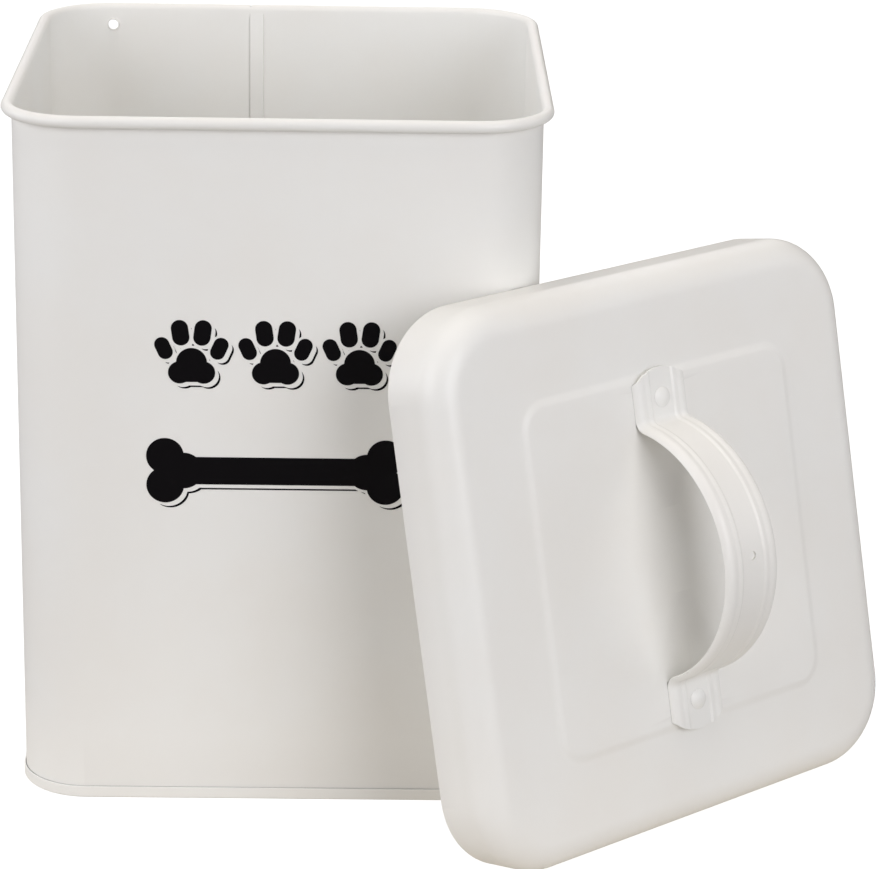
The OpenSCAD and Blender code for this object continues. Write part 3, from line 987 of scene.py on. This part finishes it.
class FOODBIN_OT_base(Operator):
    """Makes the base pan that is folded round the foot of the wall"""
    bl_idname = "foodbin.base"
    bl_label = "Base pan"

    def execute(self, context):
        mesh = make_base(context.scene.bin_sizes)
        finished("base_pan_coat", mesh, "bin", ["base_pan"], powder_coat())
        return {"FINISHED"}


class FOODBIN_OT_wire_and_marks(Operator):
    """Finishes the rim wire and the transfer on the front"""
    bl_idname = "foodbin.wire_and_marks"
    bl_label = "Rim wire and marks"

    def execute(self, context):
        for name, material in (("rim_wire", drawn_wire()), ("front_transfer", transfer_ink())):
            mesh = frame["nodes"][name].data
            mesh.materials.clear()
            mesh.materials.append(material)
        return {"FINISHED"}


class FOODBIN_OT_lid(Operator):
    """Makes the lid with its soft edge, raised panel and folded hem"""
    bl_idname = "foodbin.lid"
    bl_label = "Lid"

    def execute(self, context):
        mesh = make_lid(context.scene.bin_lid, context.scene.bin_sizes.sheet)
        finished("lid_shell_coat", mesh, "lid", ["lid_shell"], powder_coat())
        return {"FINISHED"}


class FOODBIN_OT_handle(Operator):
    """Makes the strap handle"""
    bl_idname = "foodbin.handle"
    bl_label = "Strap handle"

    def execute(self, context):
        mesh = make_strap(context.scene.bin_handle, powder_coat())
        finished("handle_strap_coat", mesh, "lid", ["handle_strap"], powder_coat())
        return {"FINISHED"}


class FOODBIN_OT_rivets(Operator):
    """Sets the two domed rivets of the handle"""
    bl_idname = "foodbin.rivets"
    bl_label = "Rivets"

    def execute(self, context):
        coat = powder_coat()
        mesh = make_rivets(context.scene.bin_handle, context.scene.bin_sizes.sheet, coat)
        finished("rivets_coat", mesh, "lid", ["rivet_upper", "rivet_lower"], coat)
        return {"FINISHED"}


def add_light(name, spot, wide, power, tint):
    """A large soft area light that looks at the object."""
    data = bpy.data.lights.new(name, "AREA")
    data.shape = "DISK"
    data.size = wide
    data.energy = power
    data.color = tint
    lamp = add_object(name, data)
    way = Vector(LAMP_AIM) - Vector(spot)
    lamp.matrix_world = (Matrix.Translation(Vector(spot))
                         @ way.to_track_quat("-Z", "Y").to_matrix().to_4x4())


def add_disc(name, middle, radius, material):
    """A flat round sheet of the stage."""
    form = bmesh.new()
    bmesh.ops.create_circle(form, cap_ends=True, segments=96, radius=radius,
                            matrix=Matrix.Translation(middle))
    mesh = bpy.data.meshes.new(name)
    form.to_mesh(mesh)
    form.free()
    mesh.materials.append(material)
    return add_object(name, mesh)


class FOODBIN_OT_stage(Operator):
    """Sets the floor, the soft lights and the camera"""
    bl_idname = "foodbin.stage"
    bl_label = "Stage"

    def execute(self, context):
        scene = context.scene
        stage = scene.bin_stage
        # The floor that shows is lit from inside and white. The papers just under it give
        # the warm light that comes back up, and aren't seen themselves.
        floor = add_disc("floor", (0, 0, 0), FLOOR_RADIUS, lit_floor())
        floor.visible_diffuse = False
        floor.visible_glossy = False
        floor.visible_shadow = False
        wide = add_disc("wide_paper", (0, 0, -1 * MM), FLOOR_RADIUS,
                        bounce_paper("white_paper", 0.0))
        wide.visible_camera = False
        near = add_disc("near_paper", (0.06, -0.09, -0.5 * MM), NEAR_RADIUS,
                        bounce_paper("bright_white_paper", stage.near))
        near.visible_camera = False

        world = bpy.data.worlds.new("pale_surround")
        world.use_nodes = True
        tree = world.node_tree
        tree.nodes.clear()
        sky = add_node(tree, "ShaderNodeBackground", {
            "Color": (1.0, 1.0, 1.0, 1.0), "Strength": stage.world})
        add_node(tree, "ShaderNodeOutputWorld", {"Surface": sky.outputs[0]})
        scene.world = world

        # Each lamp has its name, place, diameter in metres, power and tint.
        look = scene.bin_finishes
        lamps = (("right_light", (1.20, -1.77, 1.0), 1.6, stage.right, look.cool),
                 ("left_light", (-1.44, -1.39, 1.05), 1.6, stage.left, look.cool),
                 ("top_light", (0.08, -0.08, 2.36), 2.6, stage.top, look.warm),
                 ("back_light", (-0.1, 2.0, 1.7), 3.0, stage.back, look.cool),
                 ("left_side_light", (-2.1, 0.35, 0.75), 1.5, stage.left_side, look.cool),
                 ("right_side_light", (2.3, 0.2, 0.75), 1.5, stage.right_side, look.cool))
        for name, spot, wide_by, power, tint in lamps:
            add_light(name, spot, wide_by, power, tint)

        data = bpy.data.cameras.new("camera")
        data.sensor_width = 36.0
        data.lens = CAMERA_LENS
        data.clip_end = 30.0
        camera = add_object("camera", data)
        camera.matrix_world = (Matrix.Translation(CAMERA_SPOT)
                               @ Matrix.Rotation(-CAMERA_YAW, 4, "Z")
                               @ Matrix.Rotation(pi / 2 - CAMERA_PITCH, 4, "X")
                               @ Matrix.Rotation(CAMERA_ROLL, 4, "Z"))
        scene.camera = camera
        scene.view_settings.view_transform = "Standard"
        scene.view_settings.look = "None"
        return {"FINISHED"}


class FOODBIN_PT_panel(Panel):
    """Lists the bin's pieces"""
    bl_label = "Pet food bin"
    bl_idname = "FOODBIN_PT_panel"
    bl_space_type = "VIEW_3D"
    bl_region_type = "UI"
    bl_category = "Food bin"

    def draw(self, context):
        for operator in OPERATORS:
            self.layout.operator(operator.bl_idname)
        for name in GROUPS:
            group = getattr(context.scene, name)
            box = self.layout.box()
            for key in group.bl_rna.properties.keys():
                if key not in ("rna_type", "name"):
                    box.prop(group, key)


GROUPS = {"bin_sizes": BinSizes, "bin_lid": LidSizes, "bin_handle": HandleSizes,
          "bin_finishes": Finishes, "bin_stage": StageSizes}
OPERATORS = (FOODBIN_OT_stage, FOODBIN_OT_wall, FOODBIN_OT_base, FOODBIN_OT_wire_and_marks,
             FOODBIN_OT_lid, FOODBIN_OT_handle, FOODBIN_OT_rivets)
CLASSES = (*GROUPS.values(), *OPERATORS, FOODBIN_PT_panel)


def register():
    """Makes the classes and the settings known."""
    for made in CLASSES:
        bpy.utils.register_class(made)
    for name, group in GROUPS.items():
        setattr(bpy.types.Scene, name, PointerProperty(type=group))


def unregister():
    """Takes the classes and the settings away again."""
    for name in GROUPS:
        delattr(bpy.types.Scene, name)
    for made in reversed(CLASSES):
        bpy.utils.unregister_class(made)


def main():
    """Makes every piece."""
    register()
    bpy.ops.foodbin.stage()
    bpy.ops.foodbin.wall()
    bpy.ops.foodbin.base()
    bpy.ops.foodbin.wire_and_marks()
    bpy.ops.foodbin.lid()
    bpy.ops.foodbin.handle()
    bpy.ops.foodbin.rivets()


if __name__ == "__main__":
    main()
